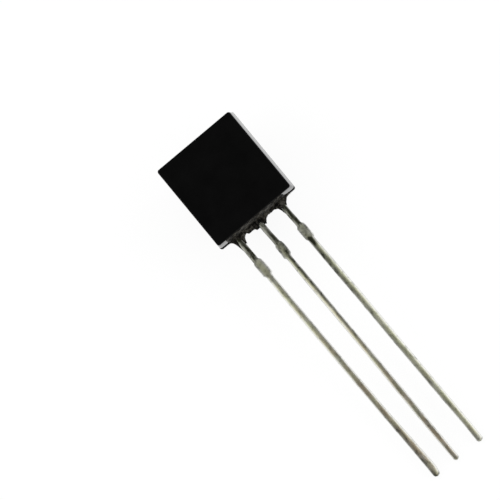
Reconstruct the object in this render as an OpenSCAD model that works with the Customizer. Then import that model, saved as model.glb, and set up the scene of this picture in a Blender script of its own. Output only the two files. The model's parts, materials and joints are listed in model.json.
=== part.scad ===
// Small-signal transistor in a moulded three-lead case.
// It lies loose with its flat face up: the round back and the three lead tips touch the ground.
// Millimetres, +Z up, leads towards -Y, origin at the middle of the footprint.
// The sub-parts are drawn in the case's own axes: X across the flat face, Y up the case from
// the underside, Z out of the flat face, with Z = 0 in the plane of the leads.

/* [Moulded case] */
// Width of the flat front face
face_w = 4.3; // [4.0:0.05:4.7]
// Height of the case at its parting line
case_h = 4.57; // [4.3:0.01:5.0]
// Thickness of the case from the flat face to the round back
case_t = 3.45; // [3.3:0.05:3.7]
// Depth of the lead plane behind the flat face
face_to_leads = 1.25; // [1.1:0.05:1.4]
// Draft of the walls in front of the parting line, in degrees
front_draft = 3; // [1:0.5:7]
// Draft of the two end walls behind the parting line, in degrees
back_draft = 6; // [2:0.5:10]
// Bevel around the flat face
face_bevel = 0.05; // [0.02:0.01:0.12]
// Radius where the end walls meet the round back
back_round = 0.2; // [0.1:0.05:0.4]

/* [Ejector mark on the round back] */
// Diameter of the mark
ejector_d = 1.6; // [1.0:0.1:2.0]
// Depth of the mark at the middle of the back
ejector_depth = 0.2; // [0.17:0.01:0.3]

/* [Leads outside the case] */
// Width of a lead
lead_w = 0.32; // [0.28:0.01:0.46]
// Thickness of the sheet that the leads are stamped from
lead_t = 0.38; // [0.3:0.01:0.5]
// Length of the leads below the case
lead_len = 14.3; // [10:0.1:15]
// Distance between the middles of neighbouring leads
pitch = 1.27; // [1.2:0.01:1.4]
// Lean of the emitter lead to the right, in degrees
emitter_lean = 0.5; // [-1:0.05:1]
// Lean of the base lead to the right, in degrees
base_lean = 0.05; // [-1:0.05:1]
// Lean of the collector lead to the right, in degrees
collector_lean = 0.45; // [-1:0.05:1]
// Chamfer on the corners of a lead's cut end
tip_chamfer = 0.06; // [0.02:0.01:0.12]

/* [Stubs of the cut dam bar] */
// Width of a lead across its stubs
stub_w = 0.47; // [0.47:0.01:0.6]
// Length of a stub, with its shoulders
stub_len = 0.83; // [0.6:0.01:1.0]
// Length of each sloping shoulder
stub_shoulder = 0.14; // [0.05:0.01:0.25]
// Distance from the underside to the middle of the stubs
stub_drop = 1.8; // [1.4:0.05:2.5]

/* [Moulding flash between the leads] */
// How far the flash stands back from the front and back of the leads
flash_inset = 0.03; // [0.01:0.01:0.08]
// Reach of the flash beyond the outer leads
flash_out = 0.32; // [0.15:0.01:0.5]
// Height of the web between emitter and base leads, at its lowest
left_web = 0.17; // [0.05:0.01:0.3]
// Height of the web between base and collector leads, at its lowest
right_web = 0.11; // [0.05:0.01:0.3]
// Mean length of flash that creeps down the side of a lead
flash_creep = 0.45; // [0.35:0.01:0.6]

/* [Lead frame inside the case] */
// Width of the paddle that carries the die
paddle_w = 1.9; // [1.5:0.05:2.2]
// Height of the paddle
paddle_h = 1.5; // [1.2:0.05:1.7]
// Distance from the underside to the paddle
paddle_y = 2.15; // [2.0:0.05:2.3]
// Width of a bonding post
post_w = 0.9; // [0.7:0.05:1.0]
// Height of a bonding post
post_h = 0.6; // [0.4:0.05:0.7]
// Distance from the underside to the base post
base_post_y = 1.15; // [1.05:0.05:1.25]
// Distance from the underside to the emitter post
emitter_post_y = 2.35; // [2.0:0.05:2.6]
// Width of the barbs that lock a lead in the moulding
barb_w = 0.62; // [0.55:0.01:0.75]
// Height of a barb
barb_h = 0.3; // [0.2:0.05:0.35]
// Distance from the underside to the barbs
barb_y = 0.45; // [0.3:0.05:0.5]
// How far the paddle and the emitter post stand outside their stems
frame_step = 0.1; // [0.05:0.01:0.2]

/* [Die and bond wires] */
// Side of the square silicon die
die_w = 0.5; // [0.4:0.05:0.6]
// Thickness of the die
die_t = 0.2; // [0.15:0.01:0.25]
// Diameter of a bond wire
wire_d = 0.03; // [0.02:0.005:0.05]
// Diameter of the ball where a wire is bonded to the die
ball_d = 0.09; // [0.07:0.01:0.1]
// Height of the ball
ball_h = 0.02; // [0.01:0.005:0.03]
// Rise of a wire's loop above the straight line between its ends
loop_rise = 0.3; // [0.2:0.05:0.45]
// Distance of the die to the left of the middle of its paddle
die_shift = 0.25; // [0.1:0.05:0.35]
// Distance of the bonds from the middle of the die
bond_offset = 0.12; // [0.08:0.01:0.15]

/* [Hidden] */

case_black = [0.06, 0.06, 0.06];
tinned = [0.74, 0.73, 0.66];
silicon = [0.42, 0.43, 0.5];
gold = [0.86, 0.68, 0.25];

back_depth = case_t - face_to_leads;
half_face = face_w / 2;
half_parting = half_face + face_to_leads * tan(front_draft);
front_end_in = face_to_leads * tan(front_draft);
back_r = (half_parting * half_parting + back_depth * back_depth) / (2 * back_depth);
back_fn = 96;
ejector_fn = 64;
// How far cutting shapes run past the surface that they cut
cut_past = 1;

lean = [emitter_lean, base_lean, collector_lean];
lead_x = [-pitch, 0, pitch];
stub_top = stub_drop - stub_len / 2;
stub_bottom = stub_drop + stub_len / 2;

// Centre of the round at the back's lead end, in (Y, Z)
round_z = back_round - back_depth;
round_y = (back_round - round_z * sin(back_draft)) / cos(back_draft);
round_steps = 6;

// Flash: depth of its root in the case, and points along each curve
flash_root = 0.2;
flash_steps = 8;

// Bond wire: sides of its section, and steps along its arch
wire_sides = 8;
wire_steps = 12;

// Places of the emitter post, the paddle, the die and the top of the die
emitter_post_x = -pitch - lead_w / 2 - frame_step;
paddle_right = pitch + lead_w / 2 + frame_step;
die_x = paddle_right - paddle_w / 2 - die_shift;
die_y = paddle_y + paddle_h / 2;
die_top = lead_t / 2 + die_t;

// Lying pose: the ground touches the round and the back edges of the lead tips
tip_y = -lead_len;
tip_z = -lead_t / 2;
to_round = [round_y - tip_y, round_z - tip_z];
rest_tilt = asin(back_round / norm(to_round)) - atan2(to_round[1], to_round[0]);

function lying(p) = [p[0] * cos(rest_tilt) - p[1] * sin(rest_tilt),
                     p[0] * sin(rest_tilt) + p[1] * cos(rest_tilt)];
lying_side = [for (p = side_profile()) lying(p)];
lying_tips = [for (z = [tip_z, -tip_z]) lying([tip_y, z])];
y_max = max([for (p = lying_side) p[0]]);
y_min = min([for (p = lying_tips) p[0]]);
ground = lying([tip_y, tip_z])[1];

// Points on an arc in the (Y, Z) plane, from angle a to angle b
function arc(centre, r, a, b) =
    [for (i = [0 : round_steps])
        let (t = a + (b - a) * i / round_steps)
        [centre[0] + r * cos(t), centre[1] + r * sin(t)]];

// Outline of the case from the side, in (Y, Z): drafted ends, bevelled face, rounded back
function side_profile() = concat(
    arc([round_y, round_z], back_round, 180 + back_draft, 270),
    arc([case_h - round_y, round_z], back_round, 270, 360 - back_draft),
    [[case_h, 0],
     [case_h - front_end_in, face_to_leads - face_bevel],
     [case_h - front_end_in - face_bevel, face_to_leads],
     [front_end_in + face_bevel, face_to_leads],
     [front_end_in, face_to_leads - face_bevel],
     [0, 0]]);

// Section of the case across the leads, in (X, Z): drafted front, round back
module case_section() {
    polygon([[-half_parting, 0], [half_parting, 0],
             [half_face, face_to_leads - face_bevel],
             [half_face - face_bevel, face_to_leads],
             [face_bevel - half_face, face_to_leads],
             [-half_face, face_to_leads - face_bevel]]);
    intersection() {
        translate([0, back_r - back_depth]) circle(back_r, $fn = back_fn);
        translate([-half_parting, -back_depth]) square([2 * half_parting, back_depth]);
    }
}

module case_block() {
    intersection() {
        translate([0, case_h, 0]) rotate([90, 0, 0]) linear_extrude(case_h) case_section();
        rotate([90, 0, 90]) linear_extrude(2 * half_parting, center = true)
            polygon(side_profile());
    }
}

// Curve of the flash from a lead's side, where it is deep, to where it is shallow
function flash_curve(x0, x1, deep, shallow) =
    [for (i = [0 : flash_steps])
        let (s = i / flash_steps)
        [x0 + (x1 - x0) * s, -shallow - (deep - shallow) * pow(1 - s, 3)]];

// Flash in one gap between two leads, or beyond an outer lead
module flash_web(points) {
    x0 = points[0][0];
    x1 = points[len(points) - 1][0];
    polygon(concat([[x0, flash_root]], points, [[x1, flash_root]]));
}

function reversed(list) = [for (i = [len(list) - 1 : -1 : 0]) list[i]];

module flash() {
    half = lead_w / 2;
    left_mid = -pitch / 2 - lead_w / 4;
    right_mid = pitch / 2 + lead_w / 4;
    linear_extrude(lead_t - 2 * flash_inset, center = true) {
        flash_web(reversed(flash_curve(-pitch - half, -pitch - half - flash_out,
                                       flash_creep, 0)));
        flash_web(concat(flash_curve(half - pitch, left_mid, flash_creep, left_web),
                         reversed(flash_curve(-half, left_mid, flash_creep, left_web))));
        flash_web(concat(flash_curve(half, right_mid, flash_creep, right_web),
                         reversed(flash_curve(pitch - half, right_mid, flash_creep, right_web))));
        flash_web(flash_curve(pitch + half, pitch + half + flash_out, flash_creep, 0));
    }
}

// Outline of a lead: its stem up to height h inside the case, and the length below the case
// with the stubs of the dam bar, leaning about the root
module lead_outline(i, h) {
    half = lead_w / 2;
    wide = stub_w / 2;
    right = [[half, h], [half, 0], [half, -stub_top],
             [wide, -stub_top - stub_shoulder], [wide, stub_shoulder - stub_bottom],
             [half, -stub_bottom], [half, tip_chamfer - lead_len],
             [half - tip_chamfer, -lead_len]];
    left = [for (p = reversed(right)) [-p[0], p[1]]];
    translate([lead_x[i], 0])
        polygon([for (p = concat(right, left)) [p[0] - min(p[1], 0) * tan(lean[i]), p[1]]]);
}

// Barbs that lock a lead in the moulding
module barbs(i) {
    translate([lead_x[i] - barb_w / 2, barb_y]) square([barb_w, barb_h]);
}

// Stamps each child out of the lead frame's sheet and joins them
module stamped() {
    color(tinned) union() {
        for (k = [0 : $children - 1]) linear_extrude(lead_t, center = true) children(k);
    }
}

module emitter_shape() {
    stamped() {
        lead_outline(0, emitter_post_y + post_h);
        barbs(0);
        translate([emitter_post_x, emitter_post_y]) square([post_w, post_h]);
    }
}

module base_shape() {
    stamped() {
        lead_outline(1, base_post_y + post_h);
        barbs(1);
        translate([-post_w / 2, base_post_y]) square([post_w, post_h]);
    }
}

module collector_shape() {
    stamped() {
        lead_outline(2, paddle_y + paddle_h);
        barbs(2);
        translate([paddle_right - paddle_w, paddle_y]) square([paddle_w, paddle_h]);
    }
}

module die_shape() {
    color(silicon) translate([die_x, die_y, (lead_t + die_t) / 2])
        cube([die_w, die_w, die_t], center = true);
}

// A bond wire: an arch that leaves the die and meets its post square to their faces
module bond_wire(from, to) {
    run = [to[0] - from[0], to[1] - from[1]];
    ahead = [run[0] / norm(run), run[1] / norm(run), 0];
    aside = [-ahead[1], ahead[0], 0];
    function centre(t) = from + (to - from) * (1 - cos(t)) / 2 + [0, 0, loop_rise * sin(t)];
    function along(t) = let (v = (to - from) * sin(t) / 2 + [0, 0, loop_rise * cos(t)]) v / norm(v);
    function ring(c, v, r) =
        [for (k = [0 : wire_sides - 1])
            let (a = 360 * k / wire_sides)
            c + r * cos(a) * aside + r * sin(a) * cross(v, aside)];
    up = [0, 0, 1];
    rings = concat(
        [ring(from, up, ball_d / 2), ring(from + ball_h * up, up, ball_d / 2)],
        [for (i = [1 : wire_steps]) let (t = 180 * i / wire_steps) ring(centre(t), along(t), wire_d / 2)]);
    last = len(rings) - 1;
    points = [for (r = rings) for (p = r) p];
    sides = [for (i = [0 : last - 1]) for (k = [0 : wire_sides - 1])
        let (a = i * wire_sides + k, b = i * wire_sides + (k + 1) % wire_sides)
        for (f = [[a, b, a + wire_sides], [b, b + wire_sides, a + wire_sides]]) f];
    caps = [[for (k = [wire_sides - 1 : -1 : 0]) k],
            [for (k = [0 : wire_sides - 1]) last * wire_sides + k]];
    color(gold) polyhedron(points, concat(sides, caps), convexity = 4);
}

module emitter_wire_shape() {
    bond_wire([die_x - bond_offset, die_y + bond_offset, die_top],
              [emitter_post_x + post_w / 2, emitter_post_y + post_h / 2, lead_t / 2]);
}

module base_wire_shape() {
    bond_wire([die_x, die_y - bond_offset, die_top],
              [0, base_post_y + post_h / 2, lead_t / 2]);
}

module case_shape() {
    color(case_black) difference() {
        union() {
            case_block();
            flash();
        }
        translate([0, case_h / 2, -back_depth - cut_past])
            cylinder(d = ejector_d, h = cut_past + ejector_depth, $fn = ejector_fn);
        emitter_shape();
        base_shape();
        collector_shape();
        die_shape();
        emitter_wire_shape();
        base_wire_shape();
    }
}

// Lays a sub-part down as the transistor comes to rest
module at_rest() {
    translate([0, -(y_min + y_max) / 2, -ground]) rotate([rest_tilt, 0, 0]) children();
}

module moulded_case() { at_rest() case_shape(); }
module emitter_lead() { at_rest() emitter_shape(); }
module base_lead() { at_rest() base_shape(); }
module collector_lead() { at_rest() collector_shape(); }
module silicon_die() { at_rest() die_shape(); }
module emitter_wire() { at_rest() emitter_wire_shape(); }
module base_wire() { at_rest() base_wire_shape(); }

moulded_case();
emitter_lead();
base_lead();
collector_lead();
silicon_die();
emitter_wire();
base_wire();
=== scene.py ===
"""Looks of a small transistor in a moulded case with three leads, lying flat face up.

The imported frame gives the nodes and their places. The case and the leads are modelled here in
the case's own axes, in millimetres: X across the flat face, Y up the case from its underside and
Z out of the flat face, with Z = 0 in the plane of the leads. One matrix then lays them down in
the frame, in metres.
"""

from __future__ import annotations

import json
import logging
import math
from dataclasses import dataclass
from enum import Enum

import bmesh
import bpy
from mathutils import Matrix, Vector, noise

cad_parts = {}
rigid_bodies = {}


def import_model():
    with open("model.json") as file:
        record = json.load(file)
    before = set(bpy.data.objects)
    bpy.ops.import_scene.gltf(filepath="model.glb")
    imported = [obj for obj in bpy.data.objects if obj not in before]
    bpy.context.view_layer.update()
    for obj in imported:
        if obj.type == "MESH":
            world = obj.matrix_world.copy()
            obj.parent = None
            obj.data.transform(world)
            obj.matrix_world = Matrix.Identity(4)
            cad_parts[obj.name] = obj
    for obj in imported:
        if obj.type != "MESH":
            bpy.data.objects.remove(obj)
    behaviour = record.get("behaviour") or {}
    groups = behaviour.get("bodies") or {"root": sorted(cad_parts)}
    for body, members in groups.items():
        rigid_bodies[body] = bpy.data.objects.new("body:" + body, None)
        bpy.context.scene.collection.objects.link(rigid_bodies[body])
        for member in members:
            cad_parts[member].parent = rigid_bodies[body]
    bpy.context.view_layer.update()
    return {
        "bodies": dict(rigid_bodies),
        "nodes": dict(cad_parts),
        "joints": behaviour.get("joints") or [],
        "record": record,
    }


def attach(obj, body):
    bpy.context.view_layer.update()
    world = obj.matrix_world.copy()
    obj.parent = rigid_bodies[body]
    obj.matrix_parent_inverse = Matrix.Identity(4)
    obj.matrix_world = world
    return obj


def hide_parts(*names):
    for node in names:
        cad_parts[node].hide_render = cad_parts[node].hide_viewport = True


LOG = logging.getLogger("transistor")
MM = 0.001
SLIVER = 0.0001
ROOT_BODY = "root"

Point2 = tuple[float, float]
Colour = tuple[float, float, float, float]


class Slot(Enum):
    """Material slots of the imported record."""

    CASE = "case_epoxy"
    LEAD = "lead_tin"
    DIE = "die_silicon"
    WIRE = "bond_gold"


class Terminal(Enum):
    """The three leads, from left to right with the flat face towards the viewer."""

    EMITTER = -1
    BASE = 0
    COLLECTOR = 1


class Nodes:
    """A small helper that adds and joins shader nodes in one material or world."""

    def __init__(self, tree: bpy.types.NodeTree) -> None:
        """Empties the tree.

        Args:
            tree: The node tree to fill.
        """
        self.tree = tree
        tree.nodes.clear()

    def add(self, kind: str, settings: dict | None = None, **inputs: object) -> bpy.types.Node:
        """Adds a node.

        Args:
            kind: The node's type without its ShaderNode prefix.
            settings: Properties of the node itself.
            inputs: Values or output sockets for its inputs; an underscore stands for a space.

        Returns:
            The new node.
        """
        node = self.tree.nodes.new("ShaderNode" + kind)
        for name, value in (settings or {}).items():
            setattr(node, name, value)
        for name, value in inputs.items():
            socket = node.inputs[name.replace("_", " ")]
            if isinstance(value, bpy.types.NodeSocket):
                self.tree.links.new(value, socket)
            else:
                socket.default_value = value
        return node

    def math(self, operation: str, first: object, second: object) -> bpy.types.NodeSocket:
        """Returns the result of a two-input Math node.

        Args:
            operation: The Math node's operation.
            first: First value or socket.
            second: Second value or socket.

        Returns:
            The output socket.
        """
        node = self.tree.nodes.new("ShaderNodeMath")
        node.operation = operation
        for socket, value in zip(node.inputs, (first, second)):
            if isinstance(value, bpy.types.NodeSocket):
                self.tree.links.new(value, socket)
            else:
                socket.default_value = value
        return node.outputs[0]

    def millimetres(self, stretch: tuple[float, float, float] = (1, 1, 1)) -> bpy.types.NodeSocket:
        """Returns object coordinates in millimetres.

        Args:
            stretch: Extra scale along X, Y and Z.

        Returns:
            The vector socket.
        """
        place = self.add("TexCoord")
        scale = tuple(s / MM for s in stretch)
        return self.add("Mapping", Vector=place.outputs["Object"], Scale=scale).outputs[0]

    def ramp(self, factor: bpy.types.NodeSocket, stops: list[tuple[float, Colour]]) -> bpy.types.NodeSocket:
        """Returns a colour ramp's colour.

        Args:
            factor: The socket that drives the ramp.
            stops: Positions and colours, in rising order.

        Returns:
            The colour socket.
        """
        node = self.add("ValToRGB", Fac=factor)
        elements = node.color_ramp.elements
        while len(elements) < len(stops):
            elements.new(1.0)
        for element, (position, colour) in zip(elements, stops):
            element.position = position
            element.color = colour
        return node.outputs["Color"]

    def mix(self, factor: object, first: object, second: object) -> bpy.types.NodeSocket:
        """Returns the mix of two colours.

        Args:
            factor: Share of the second colour, as a value or socket.
            first: First colour or socket.
            second: Second colour or socket.

        Returns:
            The colour socket.
        """
        node = self.add("Mix", {"data_type": "RGBA"})
        for index, value in ((0, factor), (6, first), (7, second)):
            if isinstance(value, bpy.types.NodeSocket):
                self.tree.links.new(value, node.inputs[index])
            else:
                node.inputs[index].default_value = value
        return node.outputs[2]

    def clamp(self, value: bpy.types.NodeSocket) -> bpy.types.NodeSocket:
        """Returns a value kept between 0 and 1."""
        return self.add("Clamp", Value=value).outputs[0]

    def span(self, value: bpy.types.NodeSocket, low: float, high: float) -> bpy.types.NodeSocket:
        """Returns a noise value spread between two numbers.

        Args:
            value: The noise, which mostly lies between 0.3 and 0.7.
            low: Result at 0.3.
            high: Result at 0.7.

        Returns:
            The value socket.
        """
        node = self.add("MapRange", Value=value, From_Min=0.3, From_Max=0.7, To_Min=low, To_Max=high)
        return node.outputs[0]

    def surface(self, shader: bpy.types.Node) -> None:
        """Joins a shader to the output."""
        output = self.tree.nodes.new("ShaderNodeOutputMaterial")
        self.tree.links.new(shader.outputs[0], output.inputs["Surface"])


def grey(value: float) -> Colour:
    """Returns an opaque grey."""
    return (value, value, value, 1.0)


@dataclass(frozen=True)
class Epoxy:
    """Black moulding compound: matt where the mould was eroded, smoother on its drawn walls."""

    name: str = "epoxy_matt"
    dark: float = 0.0009
    light: float = 0.0018
    smooth: float = 0.42
    rough: float = 0.52
    specular: float = 0.055
    grain: float = 45.0
    grain_depth: float = 0.3

    def material(self) -> bpy.types.Material:
        """Returns the finish as a new material."""
        made = bpy.data.materials.new(self.name)
        made.use_nodes = True
        n = Nodes(made.node_tree)
        where = n.millimetres()
        cloud = n.add("TexNoise", Vector=where, Scale=1.3, Detail=4.0, Roughness=0.6)
        grains = n.add("TexNoise", Vector=where, Scale=self.grain, Detail=3.0, Roughness=0.7)
        specks = n.add("TexVoronoi", Vector=where, Scale=self.grain * 0.6)
        colour = n.ramp(cloud.outputs["Fac"], [(0.3, grey(self.dark)), (0.75, grey(self.light))])
        height = n.math("ADD", grains.outputs["Fac"], n.math("MULTIPLY", specks.outputs["Distance"], 0.4))
        bump = n.add("Bump", Height=height, Strength=self.grain_depth, Distance=0.004 * MM)
        n.surface(
            n.add(
                "BsdfPrincipled",
                Base_Color=colour,
                Roughness=n.span(cloud.outputs["Fac"], self.smooth, self.rough),
                Specular_IOR_Level=self.specular,
                Normal=bump.outputs[0],
            )
        )
        return made


@dataclass(frozen=True)
class BrokenResin:
    """Thin moulding flash, mottled dark brown and grey where it tore."""

    name: str = "resin_flash"
    dark: Colour = (0.003, 0.003, 0.0025, 1.0)
    brown: Colour = (0.026, 0.0225, 0.0175, 1.0)
    pale: Colour = (0.1, 0.096, 0.08, 1.0)
    patch: float = 4.2
    roughness: float = 0.6
    specular: float = 0.08

    def material(self) -> bpy.types.Material:
        """Returns the finish as a new material."""
        made = bpy.data.materials.new(self.name)
        made.use_nodes = True
        n = Nodes(made.node_tree)
        where = n.millimetres()
        patches = n.add("TexNoise", Vector=where, Scale=self.patch, Detail=5.0, Roughness=0.65)
        flecks = n.add("TexVoronoi", Vector=where, Scale=self.patch * 3.0)
        mixed = n.math("ADD", patches.outputs["Fac"], n.math("MULTIPLY", flecks.outputs["Distance"], 0.18))
        colour = n.ramp(mixed, [(0.52, self.dark), (0.62, self.brown), (0.76, self.pale)])
        bump = n.add("Bump", Height=mixed, Strength=0.5, Distance=0.03 * MM)
        n.surface(
            n.add(
                "BsdfPrincipled",
                Base_Color=colour,
                Roughness=self.roughness,
                Specular_IOR_Level=self.specular,
                Normal=bump.outputs[0],
            )
        )
        return made


@dataclass(frozen=True)
class TinPlate:
    """Dull tin with an olive tinge, browner towards the tips, darkened in streaks, specks, lines and bands; the lines
    and bands come from the leads' vertex darkening, partly tarnishing and partly painted shade.
    """

    name: str = "tin_plate"
    olive: Colour = (0.60, 0.62, 0.435, 1.0)
    brown: Colour = (0.60, 0.515, 0.37, 1.0)
    sheared: Colour = (0.70, 0.70, 0.67, 1.0)
    tarnish_and_shade: Colour = (0.045, 0.048, 0.03, 1.0)
    smooth: float = 0.24
    rough: float = 0.36
    mottle: float = 1.05
    speck: float = 0.33
    bloom: float = 0.5
    slice: float = 3.0
    bare: float = 0.56

    def material(self) -> bpy.types.Material:
        """Returns the finish as a new material."""
        made = bpy.data.materials.new(self.name)
        made.use_nodes = True
        n = Nodes(made.node_tree)
        streaks = n.add("TexNoise", Vector=n.millimetres((1.0, 0.25, 1.0)), Scale=5.0, Detail=4.0, Roughness=0.6)
        pits = n.add("TexNoise", Vector=n.millimetres(), Scale=22.0, Detail=3.0, Roughness=0.6)
        brown = n.add("Attribute", {"attribute_name": Lead.BROWN})
        # The leads' vertex darkening: tarnishing in blots and at the tips, and painted shade in a line along each
        # lead's sharp side, below the stubs and across them.
        stain_and_shade = n.add("Attribute", {"attribute_name": Lead.TARNISH_AND_SHADE})
        patches = n.add("TexNoise", Vector=n.millimetres((1.0, 0.55, 1.0)), Scale=2.4, Detail=3.0)
        swing = n.math("MULTIPLY", n.math("SUBTRACT", patches.outputs["Fac"], 0.5), 4.0)
        drift = n.math("MULTIPLY", brown.outputs["Fac"], n.math("ADD", swing, 1.0))
        side = n.add("Attribute", {"attribute_name": Lead.SIDE})
        place = n.millimetres((1.0, 0.45, 1.0))
        spots = n.add("TexNoise", {"noise_dimensions": "4D"}, Vector=place, W=self.slice, Scale=2.6, Detail=2.0)
        bloom = n.add("MapRange", Value=spots.outputs["Fac"], From_Min=0.5, From_Max=0.66, To_Max=self.bloom)
        neutral = n.math("MAXIMUM", side.outputs["Fac"], bloom.outputs[0])
        clean = n.mix(neutral, n.mix(n.clamp(drift), self.olive, self.brown), self.sheared)
        uneven = n.math("MULTIPLY", n.math("SUBTRACT", streaks.outputs["Fac"], self.bare), self.mottle)
        specks = n.add("TexNoise", Vector=n.millimetres((1.0, 0.5, 1.0)), Scale=8.0, Detail=2.0, Roughness=0.5)
        dots = n.add("MapRange", Value=specks.outputs["Fac"], From_Min=0.53, From_Max=0.67, To_Max=self.speck)
        worn_and_shaded = n.math("ADD", stain_and_shade.outputs["Fac"], n.math("ADD", uneven, dots.outputs[0]))
        # Darkens the tin by the streaks, the specks and the vertex darkening, which carries painted shade as well as
        # tarnishing.
        colour = n.mix(n.clamp(worn_and_shaded), clean, self.tarnish_and_shade)
        roughness = n.span(streaks.outputs["Fac"], self.rough, self.smooth)
        height = n.math("ADD", streaks.outputs["Fac"], n.math("MULTIPLY", pits.outputs["Fac"], 0.25))
        bump = n.add("Bump", Height=height, Strength=0.15, Distance=0.012 * MM)
        n.surface(
            n.add(
                "BsdfPrincipled",
                Base_Color=colour,
                Metallic=1.0,
                Roughness=roughness,
                Normal=bump.outputs[0],
            )
        )
        return made


@dataclass(frozen=True)
class InnerMetal:
    """Silicon of the die or gold of the bond wires, sealed in the case."""

    name: str
    colour: Colour
    roughness: float

    def material(self) -> bpy.types.Material:
        """Returns the finish as a new material."""
        made = bpy.data.materials.new(self.name)
        made.use_nodes = True
        n = Nodes(made.node_tree)
        fine = n.add("TexNoise", Vector=n.millimetres(), Scale=30.0, Detail=2.0)
        shade = tuple(0.8 * c for c in self.colour[:3]) + (1.0,)
        colour = n.ramp(fine.outputs["Fac"], [(0.4, shade), (0.6, self.colour)])
        n.surface(n.add("BsdfPrincipled", Base_Color=colour, Metallic=1.0, Roughness=self.roughness))
        return made


@dataclass(frozen=True)
class PaleGround:
    """A plain pale floor that the camera and reflections see as near white, with its shadow kept."""

    name: str = "pale_ground"
    colour: float = 0.9
    lift: float = 0.85
    glow: float = 1.06

    def material(self) -> bpy.types.Material:
        """Returns the finish as a new material."""
        made = bpy.data.materials.new(self.name)
        made.use_nodes = True
        n = Nodes(made.node_tree)
        ray = n.add("LightPath")
        seen = n.math("MAXIMUM", ray.outputs["Is Camera Ray"], ray.outputs["Is Glossy Ray"])
        seen = n.math("MAXIMUM", seen, ray.outputs["Is Transmission Ray"])
        paper = n.add("BsdfDiffuse", Color=grey(self.colour))
        glow = n.add("Emission", Color=grey(1.0), Strength=self.glow)
        mix = n.add("MixShader", Fac=n.math("MULTIPLY", seen, self.lift))
        n.tree.links.new(paper.outputs[0], mix.inputs[1])
        n.tree.links.new(glow.outputs[0], mix.inputs[2])
        n.surface(mix)
        return made


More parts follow.
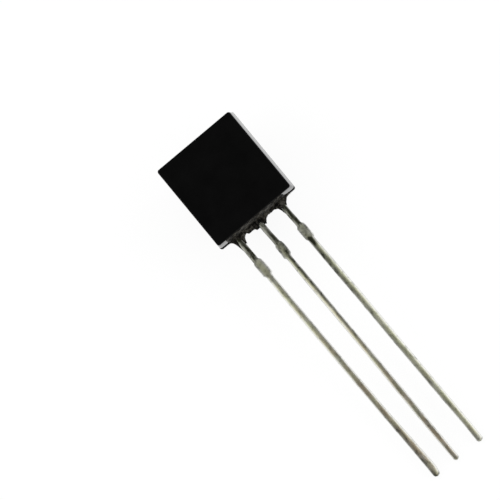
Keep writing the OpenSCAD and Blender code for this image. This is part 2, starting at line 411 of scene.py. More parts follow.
@dataclass
class Case:
    """The moulded case, with a drafted flat front, a round drafted back and its parting line."""

    face_w: float = 4.3
    height: float = 4.61
    thickness: float = 3.45
    face_to_leads: float = 1.25
    front_draft: float = math.radians(3)
    back_draft: float = math.radians(6)
    corner_round: float = 0.12
    side_edge_round: float = 0.08
    end_edge_round: float = 0.055
    back_edge_round: float = 0.05
    corner_reach: float = 0.5
    round_steps: int = 6
    back_round: float = 0.2
    ridge: float = 0.004
    ledge: float = 0.045
    sink: float = 0.02
    ejector_d: float = 1.6
    ejector_depth: float = 0.2
    arc_steps: int = 72

    @property
    def half_parting(self) -> float:
        """Half the width at the parting line."""
        return self.face_w / 2 + self.face_to_leads * math.tan(self.front_draft)

    @property
    def back_depth(self) -> float:
        """Depth of the round back behind the lead plane."""
        return self.thickness - self.face_to_leads

    @property
    def back_r(self) -> float:
        """Radius of the round back."""
        return (self.half_parting**2 + self.back_depth**2) / (2 * self.back_depth)

    @property
    def front_step(self) -> float:
        """How far the front walls draw in from the parting line to the face."""
        return self.face_to_leads * math.tan(self.front_draft)

    def back_in(self, z: float) -> float:
        """Returns how far an end wall has drawn in behind the parting line, with its rounding.

        Args:
            z: Height above the lead plane, negative.

        Returns:
            The distance from the parting line's end.
        """
        round_z = self.back_round - self.back_depth
        tangent = round_z - self.back_round * math.sin(self.back_draft)
        if z > tangent:
            return -z * math.tan(self.back_draft)
        round_y = (self.back_round - round_z * math.sin(self.back_draft)) / math.cos(self.back_draft)
        fall = min(self.back_round, round_z - z)
        return round_y - math.sqrt(self.back_round**2 - fall**2)

    def front_in(self, z: float) -> float:
        """Returns how far the front half's underside has drawn in at height z over the parting line."""
        return self.ledge + (self.front_step - self.ledge) * z / self.face_to_leads

    def low_end(self, z: float) -> float:
        """Returns the underside's height at depth z, with the ledge where the mould halves meet."""
        return self.front_in(z) if z > 0 else self.back_in(z)

    def front_ring(self, step: int) -> list[tuple[float, float, float]]:
        """Returns one outline of the flat half, a rectangle with rounded corners.

        Args:
            step: -1 under the parting line, 0 where the rounding leaves the walls, up to
                round_steps on the face.

        Returns:
            Corner points, in turn round the half.
        """
        turn = math.radians(90 * max(0, step) / self.round_steps)
        ring = []
        for corner in range(4):
            for i in range(self.round_steps + 1):
                a = math.radians(90 * (corner + i / self.round_steps))
                rounding = self.end_edge_round + (self.side_edge_round - self.end_edge_round) * math.cos(a) ** 2
                z = -self.sink if step < 0 else self.face_to_leads - rounding * (1 - math.sin(turn))
                reach = self.corner_round - rounding * (1 - math.cos(turn))
                centre_x = self.half_parting - z * math.tan(self.front_draft) - self.corner_round
                low = self.front_in(z) + self.corner_round
                high = self.height - z * math.tan(self.front_draft) - self.corner_round
                x = (centre_x if corner in (0, 3) else -centre_x) + reach * math.cos(a)
                ring.append((x, (high if corner < 2 else low) + reach * math.sin(a), z))
        return ring

    def front_half(self) -> bmesh.types.BMesh:
        """Returns the flat half as a closed shell that sinks into the round one."""
        bm = bmesh.new()
        rings = [[bm.verts.new(place) for place in self.front_ring(k)] for k in range(-1, self.round_steps + 1)]
        for lower, upper in zip(rings, rings[1:]):
            for i in range(-1, len(lower) - 1):
                bm.faces.new((lower[i], lower[i + 1], upper[i + 1], upper[i]))
        bm.faces.new(rings[0])
        bm.faces.new(rings[-1])
        bmesh.ops.recalc_face_normals(bm, faces=bm.faces)
        return bm

    def back_ring(self, step: int) -> list[tuple[float, float, float]]:
        """Returns one outline of the round half near an end.

        Args:
            step: 0 where the rounding leaves the side wall, up to round_steps on the end face.

        Returns:
            Places across, distances from the unrounded end face and depths.
        """
        centre_z = self.back_r - self.back_depth
        start = math.asin(centre_z / self.back_r)
        turn = math.radians(90 * step / self.round_steps)
        ring = []
        for i in range(self.arc_steps + 1):
            a = math.pi + start + (math.pi - 2 * start) * i / self.arc_steps
            depth = -min(0.0, centre_z + self.back_r * math.sin(a))
            near = smooth_step(1 - depth / self.corner_reach)
            rounding = self.back_edge_round + (self.corner_round - self.back_edge_round) * near
            radius = self.back_r + self.ridge - rounding * (1 - math.cos(turn))
            z = min(0.0, centre_z + radius * math.sin(a))
            ring.append((radius * math.cos(a), self.back_in(z) + rounding * (1 - math.sin(turn)), z))
        return ring

    def back_half(self) -> bmesh.types.BMesh:
        """Returns the round half as a closed shell that ends in the plane of the leads."""
        bm = bmesh.new()
        steps = range(self.round_steps + 1)
        rings = [[bm.verts.new(place) for place in self.back_ring(k)] for k in reversed(steps)]
        top = self.height + self.ridge
        rings += [[bm.verts.new((x, top - y, z)) for x, y, z in self.back_ring(k)] for k in steps]
        for lower, upper in zip(rings, rings[1:]):
            for i in range(-1, self.arc_steps):
                bm.faces.new((lower[i], upper[i], upper[i + 1], lower[i + 1]))
        for ring in (rings[0], rings[-1]):
            for i in range(self.arc_steps // 2):
                corners = (ring[i], ring[i + 1], ring[-2 - i], ring[-1 - i])
                bm.faces.new(dict.fromkeys(corners))
        bmesh.ops.recalc_face_normals(bm, faces=bm.faces)
        return bm

    def cut_ejector_mark(self, piece: bpy.types.Object) -> None:
        """Cuts the round ejector mark into the back of the case, which is still in millimetres."""
        bm = bmesh.new()
        radius, depth = self.ejector_d / 2, 2.0
        bmesh.ops.create_cone(bm, cap_ends=True, segments=72, radius1=radius, radius2=radius, depth=depth)
        height = self.ejector_depth - self.back_depth - depth / 2
        pin = piece_from(bm, "pin", Matrix.Translation((0, self.height / 2, height)))
        join(piece, pin, "DIFFERENCE")

    def dress(self, piece: bpy.types.Object) -> None:
        """Gives the face its matt finish and the walls their smoother one."""
        piece.data.materials.append(Epoxy().material())
        wall = Epoxy("epoxy_wall", smooth=0.06, rough=0.11, specular=0.65, grain_depth=0.04)
        rim = Epoxy("epoxy_rim", smooth=0.35, rough=0.5, specular=0.13)
        piece.data.materials.append(wall.material())
        piece.data.materials.append(rim.material())
        for polygon in piece.data.polygons:
            near_face = polygon.center.z > self.face_to_leads - self.side_edge_round
            if near_face and polygon.normal.z > 0.2:
                polygon.material_index = 2 if polygon.normal.y < -0.3 else 0
            else:
                polygon.material_index = 1

    def build(self, rest: Matrix) -> bpy.types.Object:
        """Builds and dresses the moulded case.

        Args:
            rest: The matrix that lays it down.

        Returns:
            The case's object.
        """
        piece = piece_from(self.back_half(), "case_moulding", Matrix.Identity(4))
        self.cut_ejector_mark(piece)
        join(piece, piece_from(self.front_half(), "front_half", Matrix.Identity(4)), "UNION")
        piece.data.materials.clear()
        self.dress(piece)
        return hand_over(piece, rest, "moulded_case", 30)


@dataclass(frozen=True)
class Look:
    """How a lead looks at one height."""

    y: float
    roll: float
    """From -1, sharp on the left and round on the right, to 1, the other way round."""
    stain_and_shade: float
    # Painted shade: how dark the line along the sharp side is, from 0 to 1.
    """Tarnish of the line along the sharp side, from 0 to 1."""
    veil: float
    # How much darker the whole section is, from 0 to 1.
    """Tarnish all over, from 0 to 1."""
    width: float
    """Width as a share of the nominal one."""
    shift: float
    """How far the middle lies to the right of the straight line."""

    def towards(self, other: Look, y: float) -> Look:
        """Returns the look at height y between this one and a lower one."""
        share = smooth_step((self.y - y) / (self.y - other.y))
        pairs = zip(self.values(), other.values())
        return Look(y, *(mine + (theirs - mine) * share for mine, theirs in pairs))

    def values(self) -> tuple[float, ...]:
        """Returns everything but the height."""
        return (self.roll, self.stain_and_shade, self.veil, self.width, self.shift)


@dataclass(frozen=True)
class Stub:
    """What is left of the cut dam bar on both sides of a lead."""

    left: float
    right: float
    low_left: float
    low_right: float
    tone: float
    slope: float
    # Painted shade: how much darker the right side is.
    """How much darker the right side is."""
    neck_shade: float
    # Painted shade just below the stub, on its left.
    """Tarnish just below the stub, on its left."""
    high_left: float = -1.42
    high_right: float = -1.35
    shoulder: float = 0.13

    def share(self, y: float, side: float) -> float:
        """Returns how much of the stub stands out at height y, from 0 to 1.

        Args:
            y: The height.
            side: Negative for the left and positive for the right.

        Returns:
            The share.
        """
        high, low = (self.high_left, self.low_left) if side < 0 else (self.high_right, self.low_right)
        return smooth_step(min(high - y, y - low) / self.shoulder)


@dataclass
class Lead:
    """One stamped and plated lead: its frame inside the case and the length below it."""

    TARNISH_AND_SHADE = "tarnish_and_shade"
    BROWN = "brown"
    SIDE = "side"

    terminal: Terminal
    lean: float
    browning: float
    stub: Stub
    looks: tuple[Look, ...]
    width: float = 0.32
    sheet: float = 0.38
    length: float = 14.3
    pitch: float = 1.27
    tip_round: float = 0.13
    tip_land: float = 0.02
    tip_tone: float = 0.3
    stem_grey: float = 0.6
    blot: float = 0.5
    step: float = 0.05
    corner: float = 0.028
    corner_steps: int = 4
    top_steps: int = 8
    crown: float = 0.03
    stub_crown: float = 0.012
    apex: float = 0.5
    line_spread: float = 0.55
    wander: float = 0.006
    nick: float = 0.006
    root: float = 0.35
    barb_w: float = 0.62
    barb_h: float = 0.3
    barb_y: float = 0.45
    frame_round: float = 0.03

    @property
    def x(self) -> float:
        """Place of the lead's middle across the case."""
        return self.terminal.value * self.pitch

    @property
    def seed(self) -> float:
        """Place in the noise that makes each lead uneven in its own way."""
        return 7.3 * (self.terminal.value + 2)

    def stations(self) -> list[float]:
        """Returns the heights at which the lead is drawn, from inside the case to the cut end."""
        count = round((self.length + self.root - self.tip_round) / self.step)
        body = [self.root - self.step * i for i in range(count)]
        tip = [self.tip_round * math.cos(math.radians(a)) - self.length for a in (0, 25, 45, 60, 75, 90)]
        return [y for y in body if y > tip[0] + self.step / 3] + tip

    def centre(self, y: float) -> Point2:
        """Returns the middle of the lead at height y: its lean, bends and slight waves of handling."""
        below = max(0.0, -y)
        fade = min(1.0, below / 3.0) * min(1.0, max(0.0, (self.length - below) / 1.5))
        wave = noise.noise(Vector((self.seed, y * 0.3, 0.0))) * self.wander * fade
        lift = noise.noise(Vector((self.seed, y * 0.3, 9.0))) * self.wander * fade
        return (self.x + below * math.tan(self.lean) + self.look_at(y).shift + wave, lift)

    def look_at(self, y: float) -> Look:
        """Returns the look at height y, between the two nearest given ones."""
        for upper, lower in zip(self.looks, self.looks[1:]):
            if y >= lower.y:
                return upper.towards(lower, y)
        return self.looks[-1]

    def tarnish_and_shade(self, s: float, y: float) -> float:
        """Returns how dark the lead is painted at a place: tarnishing in blots on the stubs and at the tip, an even
        darkening per height, and painted shade in a line along the sharp side, just below the stub and on one side of
        it.

        Args:
            s: Place across the lead, from -1 on the left to 1 on the right.
            y: Height, negative below the underside.

        Returns:
            The darkening, from 0 to 1.
        """
        stub, look = self.stub, self.look_at(y)
        share = stub.share(y, s)
        uneven = 1 + 0.5 * noise.noise(Vector((self.seed, y * 3.5, 4.0)))
        drift = 0.15 * noise.noise(Vector((self.seed, y * 2.0, 6.0)))
        # Painted shade: a dark line down the sharp side stands in for the dark reflection along the lead's crown.
        line = look.stain_and_shade * uneven * math.exp(-(((s - drift - self.apex * look.roll) / self.line_spread) ** 2))
        # Painted shade just below the stub, on its left.
        neck_shade = stub.neck_shade * math.exp(-(((y - stub.low_left) / 0.1) ** 2)) * math.exp(-(((s + 0.35) / 0.5) ** 2))
        blots = noise.fractal(Vector((self.x * 3 + s * 0.9, y * 4.2, 2.0)), 0.7, 2.0, 3)
        # On the stub: its tone, random blots, and painted shade that darkens one side by the slope.
        patch = stub.tone + stub.slope * s + self.blot * blots
        tip = self.tip_tone * smooth_step((0.2 - self.length - y) / 0.2)
        return min(1.0, max(0.0, share * patch + (1 - share) * (look.veil + line) + neck_shade + tip))

    def half_width(self, y: float, side: int) -> float:
        """Returns how far one side lies from the middle.

        Args:
            y: The height.
            side: -1 for the left and 1 for the right.

        Returns:
            The distance.
        """
        out = self.stub.left if side < 0 else self.stub.right
        stem = self.look_at(y).width * self.width / 2
        nick = self.nick * noise.noise(Vector((self.seed, y * 2.5, 20.0 * side)))
        return stem + (out - stem) * self.stub.share(y, side) + nick

    def section(self, y: float) -> list[tuple[float, float, float]]:
        """Returns the crowned section at height y, from the right of the flat side and round.

        The blank is rounder where the punch went in, so the crown's top lies off the middle.

        Args:
            y: Height of the section.

        Returns:
            Places across, rises and shares across from -1 to 1.
        """
        look, share = self.look_at(y), self.stub.share(y, 1)
        end = max(0.0, self.tip_round - (y + self.length))
        inset = self.tip_round - math.sqrt(max(0.0, self.tip_round**2 - end**2))
        left, right = (max(self.tip_land, self.half_width(y, side) - inset) for side in (-1, 1))
        half = self.sheet / 2 - inset
        corner = min(self.corner, 0.6 * half, 0.6 * left, 0.6 * right)
        crown = (self.crown + (self.stub_crown - self.crown) * share) * half / (self.sheet / 2)
        quarter = [math.radians(90 * i / self.corner_steps) for i in range(self.corner_steps + 1)]
        upper = [(right - corner + corner * math.cos(a), half - corner + corner * math.sin(a)) for a in quarter]
        inner_right, inner_left = right - corner, corner - left
        for i in range(1, self.top_steps):
            upper.append((inner_right + (inner_left - inner_right) * i / self.top_steps, half))
        upper += [(corner - left - corner * math.cos(a), half - corner + corner * math.sin(a)) for a in quarter[::-1]]
        points = []
        for across, rise in upper:
            s = across / right if across > 0 else across / left
            fall = crown * (s - self.apex * look.roll) ** 2
            points.append((across, rise - fall * rise / half, s))
        return points + [(across, -rise, s) for across, rise, s in points[::-1]]

    def ring(self, bm: bmesh.types.BMesh, y: float) -> list[bmesh.types.BMVert]:
        """Adds the lead's section at height y.

        Args:
            bm: The mesh.
            y: Height of the section.

        Returns:
            Its vertices.
        """
        tarnish_and_shade, brown, side = (bm.verts.layers.float[name] for name in (self.TARNISH_AND_SHADE, self.BROWN, self.SIDE))
        x, z = self.centre(y)
        made = []
        for across, rise, s in self.section(y):
            vert = bm.verts.new((x + across, y, z + rise))
            vert[tarnish_and_shade] = self.tarnish_and_shade(s, y)
            vert[brown] = self.browning * min(1.0, max(0.0, -y / self.length))
            vert[side] = max(smooth_step((abs(s) - 0.35) / 0.5), self.stem_grey * smooth_step((y + 1.7) / 0.5))
            made.append(vert)
        return made

    def mesh(self) -> bmesh.types.BMesh:
        """Returns the length below the case as one closed shell that starts inside it."""
        bm = bmesh.new()
        for name in (self.TARNISH_AND_SHADE, self.BROWN, self.SIDE):
            bm.verts.layers.float.new(name)
        rings = [self.ring(bm, y) for y in self.stations()]
        for upper, lower in zip(rings, rings[1:]):
            for k in range(len(upper)):
                m = (k + 1) % len(upper)
                bm.faces.new((upper[k], upper[m], lower[m], lower[k]))
        bm.faces.new(rings[0])
        bm.faces.new(rings[-1])
        bmesh.ops.recalc_face_normals(bm, faces=bm.faces)
        return bm

    def frame_mesh(self) -> bmesh.types.BMesh:
        """Returns the stamped frame inside the case: stem, barbs and the head at its end."""
        half, barb = self.width / 2, self.barb_w / 2
        low, high = self.barb_y, self.barb_y + self.barb_h
        right = [(half, self.root / 2), (half, low), (barb, low), (barb, high), (half, high)]
        left = [(-x, y) for x, y in reversed(right)]
        outline = right + HEADS[self.terminal].outline(half) + left
        bm = bmesh.new()
        front = bm.faces.new([bm.verts.new((self.x + x, y, self.sheet / 2)) for x, y in outline])
        made = bmesh.ops.extrude_face_region(bm, geom=[front])
        moved = [v for v in made["geom"] if isinstance(v, bmesh.types.BMVert)]
        bmesh.ops.translate(bm, verts=moved, vec=(0, 0, -self.sheet))
        bmesh.ops.recalc_face_normals(bm, faces=bm.faces)
        return bm

    def build(self, rest: Matrix, tin: bpy.types.Material) -> bpy.types.Object:
        """Builds and dresses the lead.

        Args:
            rest: The matrix that lays it down.
            tin: The finish of all three leads.

        Returns:
            The lead's object.
        """
        node = self.terminal.name.lower() + "_lead"
        piece = piece_from(self.mesh(), node + "_plated", Matrix.Identity(4))
        frame = piece_from(self.frame_mesh(), "stamped_frame", Matrix.Identity(4))
        round_edges(frame, self.frame_round, 2)
        join(piece, frame, "UNION")
        piece.data.materials.clear()
        piece.data.materials.append(tin)
        return hand_over(piece, rest, node, 40)


@dataclass(frozen=True)
class Head:
    """Wide end of a lead inside the case: a bonding post or the paddle under the die."""

    left: float
    right: float
    low: float
    high: float

    def outline(self, half: float) -> list[Point2]:
        """Returns the head's outline about the lead's middle, from the right of the stem to the left.

        Args:
            half: Half the width of the stem below the head.

        Returns:
            The corner points.
        """
        points = [(half, self.low), (self.right, self.low), (self.right, self.high)]
        return points + [(self.left, self.high), (self.left, self.low), (-half, self.low)]


HEADS = {
    Terminal.EMITTER: Head(left=-0.26, right=0.64, low=2.35, high=2.95),
    Terminal.BASE: Head(left=-0.45, right=0.45, low=1.15, high=1.75),
    Terminal.COLLECTOR: Head(left=-1.64, right=0.26, low=2.15, high=3.65),
}


@dataclass(frozen=True)
class Web:
    """One web of flash, between two leads or beside an outer one."""

    start: float
    end: float
    left: float
    right: float
    low: float
    low_at: float
    left_power: float
    right_power: float

    def depth(self, s: float) -> float:
        """Returns how far the web reaches below the underside at share s across it."""
        if s < self.low_at:
            return self.low + (self.left - self.low) * (1 - s / self.low_at) ** self.left_power
        share = (s - self.low_at) / max(1e-6, 1 - self.low_at)
        return self.low + (self.right - self.low) * share**self.right_power


@dataclass
class Flash:
    """Torn webs of resin at the roots of the leads, and the rough crust above them."""

    leads: list[Lead]
    case: Case
    inset: float = 0.03
    lap: float = 0.1
    root: float = 0.1
    columns: int = 56
    rows: int = 12
    tear: float = 0.05
    thinning: float = 0.45
    crust_left: float = -1.78
    crust_right: float = 1.66
    crust_top: float = 1.21
    crust_height: float = 0.055
    crust_columns: int = 150
    crust_rows: int = 48
    collars: tuple[tuple[float, float, float], ...] = ((0.45, 0.1, 0.4), (0.3, 0.2, 0.36), (0.5, 0.3, 0.26))
    collar_rise: float = 0.022
    collar_lap: float = 0.012
    collar_steps: int = 24

    def webs(self) -> list[Web]:
        """Returns the four webs, from left to right."""
        half, pitch = self.leads[1].width / 2, self.leads[1].pitch
        return [
            Web(-pitch - half - 0.36, -pitch - half, 0.0, 0.95, 0.0, 0.0, 1.0, 3.2),
            Web(half - pitch, -half, 0.5, 0.36, 0.165, 0.25, 3.0, 1.3),
            Web(half, pitch - half, 0.38, 0.62, 0.11, 0.53, 3.2, 5.0),
            Web(pitch + half, pitch + half + 0.44, 0.28, 0.0, 0.0, 1.0, 2.9, 1.0),
        ]

    def columns_of(self, web: Web) -> list[Point2]:
        """Returns places across a web and its depths there, with a lap into the leads beside it."""
        made = []
        for i in range(self.columns + 1):
            s = i / self.columns
            made.append((web.start + (web.end - web.start) * s, web.depth(s)))
        if web.left > 0:
            made.insert(0, (web.start - self.lap, web.left * 0.8))
        if web.right > 0:
            made.append((web.end + self.lap, web.right * 0.8))
        return made

    def mesh(self) -> bmesh.types.BMesh:
        """Returns the webs and the crust as closed shells with torn edges."""
        bm = bmesh.new()
        thick = self.leads[1].sheet / 2 - self.inset
        for web in self.webs():
            sheets = []
            for side in (1, -1):
                grid = []
                for x, fall in self.columns_of(web):
                    torn = noise.fractal(Vector((x * 5, 3.0, 0.0)), 0.8, 2.0, 4)
                    fall = max(0.0, fall + self.tear * torn * min(1.0, fall / 0.1))
                    grid.append([self.web_vert(bm, x, fall, j / self.rows, side * thick) for j in range(self.rows + 1)])
                sheets.append(grid)
            close_sheets(bm, *sheets)
        for lead, reach in zip(self.leads, self.collars):
            self.add_collar(bm, lead, reach, 1)
            self.add_collar(bm, lead, reach, -1)
        self.add_crust(bm)
        bmesh.ops.recalc_face_normals(bm, faces=bm.faces)
        return bm

    def web_vert(
        self, bm: bmesh.types.BMesh, x: float, fall: float, t: float, half_thick: float
    ) -> bmesh.types.BMVert:
        """Adds one vertex of a web's front or back sheet.

        Args:
            bm: The mesh.
            x: Place across the case.
            fall: How far the web reaches below the underside here.
            t: Share of the way from the root to the torn edge.
            half_thick: Half the thickness at the root, negative on the back.

        Returns:
            The vertex.
        """
        y = self.root - (self.root + fall) * t
        rough = noise.fractal(Vector((x * 7, y * 7, half_thick * 20)), 0.9, 2.0, 4)
        thin = 1 - self.thinning * t**3
        return bm.verts.new((x, y, half_thick * thin * (1 - 0.22 * abs(rough))))

    def add_collar(
        self, bm: bmesh.types.BMesh, lead: Lead, reach: tuple[float, float, float], side: int
    ) -> None:
        """Adds the resin that has crept down one flat side of a lead at its root.

        Args:
            bm: The mesh.
            lead: The lead.
            reach: How far down the lead it goes at the left, in the middle and at the right.
            side: 1 for the front of the lead and -1 for its back.
        """
        outer, inner = [], []
        half, flat = lead.width / 2 + self.collar_lap, lead.sheet / 2
        x = lead.centre(0.0)[0]
        for i in range(self.collar_steps + 1):
            s = 2 * i / self.collar_steps - 1
            edge = noise.fractal(Vector((x * 3 + s * 1.6, side * 4.0, 7.0)), 0.8, 2.0, 2)
            outward = reach[0] if s < 0 else reach[2]
            low = -max(0.02, (reach[1] + (outward - reach[1]) * s * s) * (1 + 0.5 * edge))
            column_out, column_in = [], []
            for j in range(self.collar_steps + 1):
                t = j / self.collar_steps
                y = self.root + (low - self.root) * t
                lump = noise.fractal(Vector((x + s * half, y, side * 3.0)) * 6, 0.8, 2.0, 4)
                fade = smooth_step((1 - t) / 0.2) * smooth_step((1 - abs(s)) / 0.2)
                rise = flat - 0.012 + fade * (0.016 + self.collar_rise * (1 + lump))
                column_out.append(bm.verts.new((x + s * half, y, side * rise)))
                column_in.append(bm.verts.new((x + s * half, y, side * (flat - 0.06))))
            outer.append(column_out)
            inner.append(column_in)
        close_sheets(bm, outer, inner)

    def add_crust(self, bm: bmesh.types.BMesh) -> None:
        """Adds the thin rough crust that the flash leaves on the underside, up towards the face."""
        outer, inner = [], []
        for i in range(self.crust_columns + 1):
            s = i / self.crust_columns
            x = self.crust_left + (self.crust_right - self.crust_left) * s
            ends = smooth_step(min(s, 1 - s) / 0.05)
            ragged = 0.025 * noise.noise(Vector((x * 4, 11.0, 2.0)))
            column_out, column_in = [], []
            for j in range(self.crust_rows + 1):
                t = j / self.crust_rows
                z = -0.12 + (self.crust_top + ragged + 0.12) * t
                lump = noise.fractal(Vector((x * 4.5, z * 2.2, 5.0)), 0.7, 2.0, 5)
                rise = smooth_step((1 - t) / 0.08) * self.crust_height * (0.55 + 0.9 * lump)
                wall = self.case.low_end(z)
                column_out.append(bm.verts.new((x, wall + 0.004 - ends * max(0.014, rise), z)))
                column_in.append(bm.verts.new((x, wall + 0.06, z)))
            outer.append(column_out)
            inner.append(column_in)
        close_sheets(bm, outer, inner)

    def build(self, rest: Matrix) -> bpy.types.Object:
        """Builds and dresses the flash and the crust.

        Args:
            rest: The matrix that lays them down.

        Returns:
            Their object.
        """
        piece = piece_from(self.mesh(), "case_flash", Matrix.Identity(4))
        piece.data.materials.append(BrokenResin().material())
        return hand_over(piece, rest, "moulded_case", 50)


def close_sheets(bm: bmesh.types.BMesh, front: list[list], back: list[list]) -> None:
    """Joins two equal grids of vertices into one closed shell.

    Args:
        bm: The mesh that holds the vertices.
        front: Grid of the front sheet.
        back: Grid of the back sheet.
    """
    last_i, last_j = len(front) - 1, len(front[0]) - 1
    for grid in (front, back):
        for i in range(last_i):
            for j in range(last_j):
                bm.faces.new((grid[i][j], grid[i + 1][j], grid[i + 1][j + 1], grid[i][j + 1]))
    for i in range(last_i):
        for j in (0, last_j):
            bm.faces.new((front[i][j], front[i + 1][j], back[i + 1][j], back[i][j]))
    for j in range(last_j):
        for i in (0, last_i):
            bm.faces.new((front[i][j], front[i][j + 1], back[i][j + 1], back[i][j]))


def smooth_step(t: float) -> float:
    """Returns a smooth rise from 0 at t = 0 to 1 at t = 1."""
    t = min(1.0, max(0.0, t))
    return t * t * (3 - 2 * t)


def case_axes(record: dict) -> Matrix:
    """Returns the matrix from the case's axes in millimetres to the frame in metres.

    Args:
        record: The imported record, whose lead_row mount lies at the root of the base lead and
            points down the leads.

    Returns:
        The matrix that lays the drawn pieces down.
    """
    mount = next(m for m in record["mounts"] if m["name"] == "lead_row")
    across = Vector((1.0, 0.0, 0.0))
    up_case = -Vector(mount["axis"]).normalized()
    axes = Matrix((across, up_case, across.cross(up_case))).transposed().to_4x4()
    return Matrix.Translation(mount["pos_m"]) @ axes @ Matrix.Scale(MM, 4)


@dataclass
class Studio:
    """Plain floor, soft light and the camera of the photograph."""

    azimuth: float = 11.11
    elevation: float = 74.404
    roll: float = -50.633
    aim: tuple[float, float, float] = (-1.204, 3.987, 2.0)
    distance: float = 350.0
    seen_width: float = 22.85
    sensor: float = 36.0
    floor_side: float = 1.2

    def camera(self) -> bpy.types.Object:
        """Makes the scene's camera."""
        data = bpy.data.cameras.new("camera")
        data.sensor_width = self.sensor
        data.lens = self.sensor * self.distance / self.seen_width
        data.clip_start, data.clip_end = 0.01, 10.0
        camera = bpy.data.objects.new("camera", data)
        bpy.context.scene.collection.objects.link(camera)
        a, e = math.radians(self.azimuth), math.radians(self.elevation)
        back = Vector((math.sin(a) * math.cos(e), -math.cos(a) * math.cos(e), math.sin(e)))
        right = Vector((math.cos(a), math.sin(a), 0))
        turn = Matrix.Rotation(math.radians(self.roll), 4, back)
        axes = Matrix((right, back.cross(right), back)).transposed().to_4x4()
        place = Matrix.Translation((Vector(self.aim) + back * self.distance) * MM)
        camera.matrix_world = place @ turn @ axes
        bpy.context.scene.camera = camera
        return camera

    def floor(self) -> bpy.types.Object:
        """Makes the floor under the transistor."""
        bm = bmesh.new()
        bmesh.ops.create_grid(bm, x_segments=1, y_segments=1, size=self.floor_side / 2)
        floor = piece_from(bm, "floor", Matrix.Translation((0, 0, -0.01 * MM)))
        floor.data.materials.append(PaleGround().material())
        return floor

    def lamp(self, name: str, place: Vector, size: float, power: float) -> None:
        """Adds one soft square lamp that looks at the transistor.

        Args:
            name: The lamp's name.
            place: Where it stands, in metres.
            size: Side of the square, in metres.
            power: Its power in watts.
        """
        data = bpy.data.lights.new(name, "AREA")
        data.shape, data.size, data.energy = "SQUARE", size, power
        lamp = bpy.data.objects.new(name, data)
        lamp.location = place
        lamp.rotation_euler = (-place).to_track_quat("-Z", "Y").to_euler()
        bpy.context.scene.collection.objects.link(lamp)

    def light(self) -> None:
        """Adds the lamps and the world, which is dim overhead and bright round the horizon."""
        self.lamp("lamp_left", Vector((-0.75, 0.3, 0.6)), 0.9, 1.6)
        self.lamp("lamp_right", Vector((0.78, -0.25, 0.55)), 0.9, 2.1)
        self.lamp("lamp_far", Vector((0.1, 0.8, 0.55)), 0.9, 1.5)
        world = bpy.data.worlds.new("studio")
        world.use_nodes = True
        bpy.context.scene.world = world
        n = Nodes(world.node_tree)
        split = n.add("SeparateXYZ", Vector=n.add("TexCoord").outputs["Generated"])
        stops = [(0.0, grey(1.0)), (0.5, grey(0.85)), (0.72, grey(0.55)), (0.9, grey(0.35))]
        level = n.ramp(split.outputs["Z"], stops)
        seen = n.mix(n.add("LightPath").outputs["Is Camera Ray"], level, grey(1.0))
        back = n.add("Background", Color=seen, Strength=1.0)
        output = n.tree.nodes.new("ShaderNodeOutputWorld")
        n.tree.links.new(back.outputs[0], output.inputs["Surface"])


def piece_from(bm: bmesh.types.BMesh, name: str, matrix: Matrix) -> bpy.types.Object:
    """Turns a bmesh into an object at the origin.

    Args:
        bm: The mesh, which is freed.
        name: The object's name.
        matrix: Transform that is applied to the mesh.

    Returns:
        The new object.
    """
    mesh = bpy.data.meshes.new(name)
    bm.to_mesh(mesh)
    bm.free()
    mesh.transform(matrix)
    made = bpy.data.objects.new(name, mesh)
    bpy.context.scene.collection.objects.link(made)
    return made


def apply_modifiers(piece: bpy.types.Object) -> None:
    """Bakes an object's modifiers into its mesh."""
    graph = bpy.context.evaluated_depsgraph_get()
    made = bpy.data.meshes.new_from_object(piece.evaluated_get(graph))
    piece.modifiers.clear()
    piece.data = made


def drop_slivers(piece: bpy.types.Object) -> None:
    """Dissolves the edges without length that a cut leaves in a piece still in millimetres."""
    bm = bmesh.new()
    bm.from_mesh(piece.data)
    bmesh.ops.dissolve_degenerate(bm, dist=SLIVER, edges=bm.edges)
    bm.to_mesh(piece.data)
    bm.free()


def join(piece: bpy.types.Object, other: bpy.types.Object, operation: str) -> None:
    """Joins or cuts a piece with another one, which is then removed.

    Args:
        piece: The piece that stays.
        other: The closed body to join or to cut with.
        operation: The Boolean modifier's operation.
    """
    modifier = piece.modifiers.new("join", "BOOLEAN")
    modifier.operation, modifier.object, modifier.solver = operation, other, "EXACT"
    apply_modifiers(piece)
    bpy.data.objects.remove(other)
    drop_slivers(piece)


def round_edges(piece: bpy.types.Object, width: float, steps: int) -> None:
    """Rounds the edges of a piece that is still in millimetres, by their weight where they have one.

    Args:
        piece: The object.
        width: Width of the rounding.
        steps: Faces across it.
    """
    bevel = piece.modifiers.new("round", "BEVEL")
    bevel.width, bevel.segments = width, steps
    weighted = "bevel_weight_edge" in piece.data.attributes
    bevel.limit_method = "WEIGHT" if weighted else "ANGLE"
    bevel.angle_limit = math.radians(30)
    bevel.miter_outer = "MITER_ARC"
    bevel.use_clamp_overlap = True
    apply_modifiers(piece)


def hand_over(piece: bpy.types.Object, rest: Matrix, node: str, angle: float) -> bpy.types.Object:
    """Lays a finished piece down, shades it and ties it to its node.

    Args:
        piece: The piece, in millimetres and in the case's axes.
        rest: The matrix that lays it down.
        node: The CAD node that it replaces.
        angle: Edges sharper than this stay sharp, in degrees.

    Returns:
        The same piece.
    """
    piece.data.transform(rest)
    piece.data.shade_smooth()
    piece.data.set_sharp_from_angle(angle=math.radians(angle))
    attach(piece, ROOT_BODY)
    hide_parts(node)
    LOG.info("built %s with %d faces", piece.name, len(piece.data.polygons))
    return piece


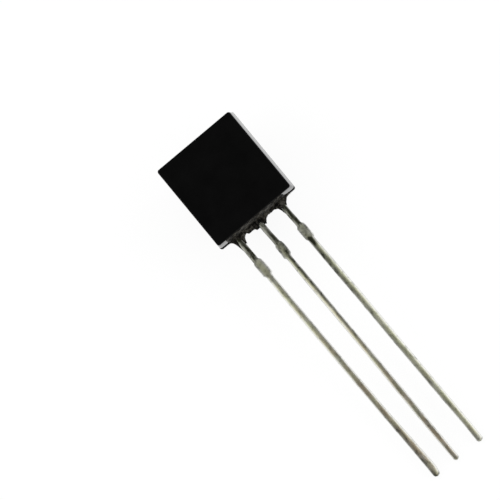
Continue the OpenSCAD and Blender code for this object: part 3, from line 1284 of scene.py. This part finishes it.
def dress_inner_nodes(nodes: dict[str, bpy.types.Object]) -> None:
    """Gives the sealed die and bond wires their finishes.

    Args:
        nodes: The frame's nodes by name.
    """
    silicon = InnerMetal("silicon", (0.22, 0.23, 0.3, 1.0), 0.15).material()
    gold = InnerMetal("gold", (0.9, 0.66, 0.25, 1.0), 0.25).material()
    for name, finish in (("silicon_die", silicon), ("emitter_wire", gold), ("base_wire", gold)):
        nodes[name].data.materials.clear()
        nodes[name].data.materials.append(finish)
        LOG.info("dressed %s", name)


def leads() -> list[Lead]:
    """Returns the three leads as they stand in the photograph."""
    emitter = Lead(
        Terminal.EMITTER,
        lean=math.radians(0.489),
        browning=0.85,
        stub=Stub(left=0.226, right=0.236, low_left=-2.31, low_right=-2.32, tone=0.12, slope=0.0, neck_shade=0.5),
        looks=(
            Look(0.0, 0.8, 0.48, 0.64, 0.94, -0.055),
            Look(-0.65, 0.8, 0.48, 0.64, 0.93, -0.043),
            Look(-1.3, 0.8, 0.22, 0.76, 0.93, -0.045),
            Look(-1.8, 0.6, 0.25, 0.1, 0.95, -0.018),
            Look(-2.4, 0.5, 0.25, 0.03, 0.93, -0.025),
            Look(-3.7, 0.8, 0.03, 0.0, 0.97, -0.036),
            Look(-5.5, 0.75, 0.03, 0.0, 1.01, -0.034),
            Look(-8.0, 0.1, 0.12, 0.0, 0.97, -0.03),
            Look(-10.0, -0.4, 0.3, 0.0, 0.99, -0.015),
            Look(-12.4, -0.9, 0.4, 0.06, 1.09, 0.028),
            Look(-13.8, -1.0, 0.4, 0.11, 1.17, 0.042),
            Look(-14.3, -1.0, 0.5, 0.22, 0.97, 0.012),
        ),
    )
    base = Lead(
        Terminal.BASE,
        lean=math.radians(0.071),
        browning=1.0,
        stub=Stub(left=0.217, right=0.202, low_left=-2.27, low_right=-2.19, tone=0.46, slope=0.22, neck_shade=0.15),
        looks=(
            Look(0.0, 0.8, 0.0, 0.9, 0.84, -0.06),
            Look(-0.45, 0.8, 0.0, 0.79, 0.83, -0.058),
            Look(-0.65, 0.8, 0.05, 0.79, 0.83, -0.058),
            Look(-1.3, 0.5, 0.15, 0.89, 0.85, -0.036),
            Look(-1.8, 0.6, 0.25, 0.3, 0.84, -0.012),
            Look(-2.35, 0.65, 0.42, 0.38, 0.79, -0.042),
            Look(-3.7, 1.0, 0.45, 0.17, 0.87, -0.036),
            Look(-5.5, 1.1, 0.38, 0.03, 0.83, -0.024),
            Look(-7.5, 0.6, 0.2, 0.0, 0.88, -0.007),
            Look(-10.5, 0.2, 0.2, 0.0, 0.95, -0.012),
            Look(-12.4, 0.0, 0.3, 0.0, 0.92, -0.01),
            Look(-14.3, -0.3, 0.35, 0.0, 0.86, 0.0),
        ),
    )
    collector = Lead(
        Terminal.COLLECTOR,
        length=14.33,
        lean=math.radians(0.432),
        browning=0.26,
        stub=Stub(left=0.224, right=0.224, low_left=-2.24, low_right=-2.25, tone=0.31, slope=-0.13, neck_shade=0.4),
        looks=(
            Look(0.0, 0.7, 0.3, 0.77, 0.84, -0.03),
            Look(-0.65, 0.7, 0.15, 0.79, 0.82, -0.025),
            Look(-1.3, 0.7, 0.25, 0.8, 0.82, -0.01),
            Look(-1.8, -0.2, 0.6, 0.4, 1.0, 0.0),
            Look(-2.4, -0.25, 0.78, 0.5, 0.96, 0.0),
            Look(-2.85, -0.9, 0.48, 0.26, 1.0, 0.006),
            Look(-3.9, -1.0, 0.38, 0.17, 1.04, 0.015),
            Look(-5.5, -1.0, 0.26, 0.05, 1.05, 0.024),
            Look(-8.0, -0.9, 0.12, 0.0, 1.04, 0.012),
            Look(-11.0, -0.8, 0.1, 0.0, 1.03, 0.018),
            Look(-13.5, -0.8, 0.2, 0.0, 0.94, 0.024),
            Look(-14.3, -0.8, 0.45, 0.1, 0.96, 0.012),
        ),
    )
    return [emitter, base, collector]


def main() -> None:
    """Builds the transistor round the frame."""
    logging.basicConfig(level=logging.INFO, format="%(message)s")
    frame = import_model()
    bpy.context.scene.view_settings.view_transform = "Standard"
    case, row, studio = Case(), leads(), Studio()
    studio.camera()
    rest = case_axes(frame["record"])
    case.build(rest)
    Flash(row, case).build(rest)
    tin = TinPlate().material()
    for lead in row:
        lead.build(rest, tin)
    dress_inner_nodes(frame["nodes"])
    studio.floor()
    studio.light()


if __name__ == "__main__":
    main()
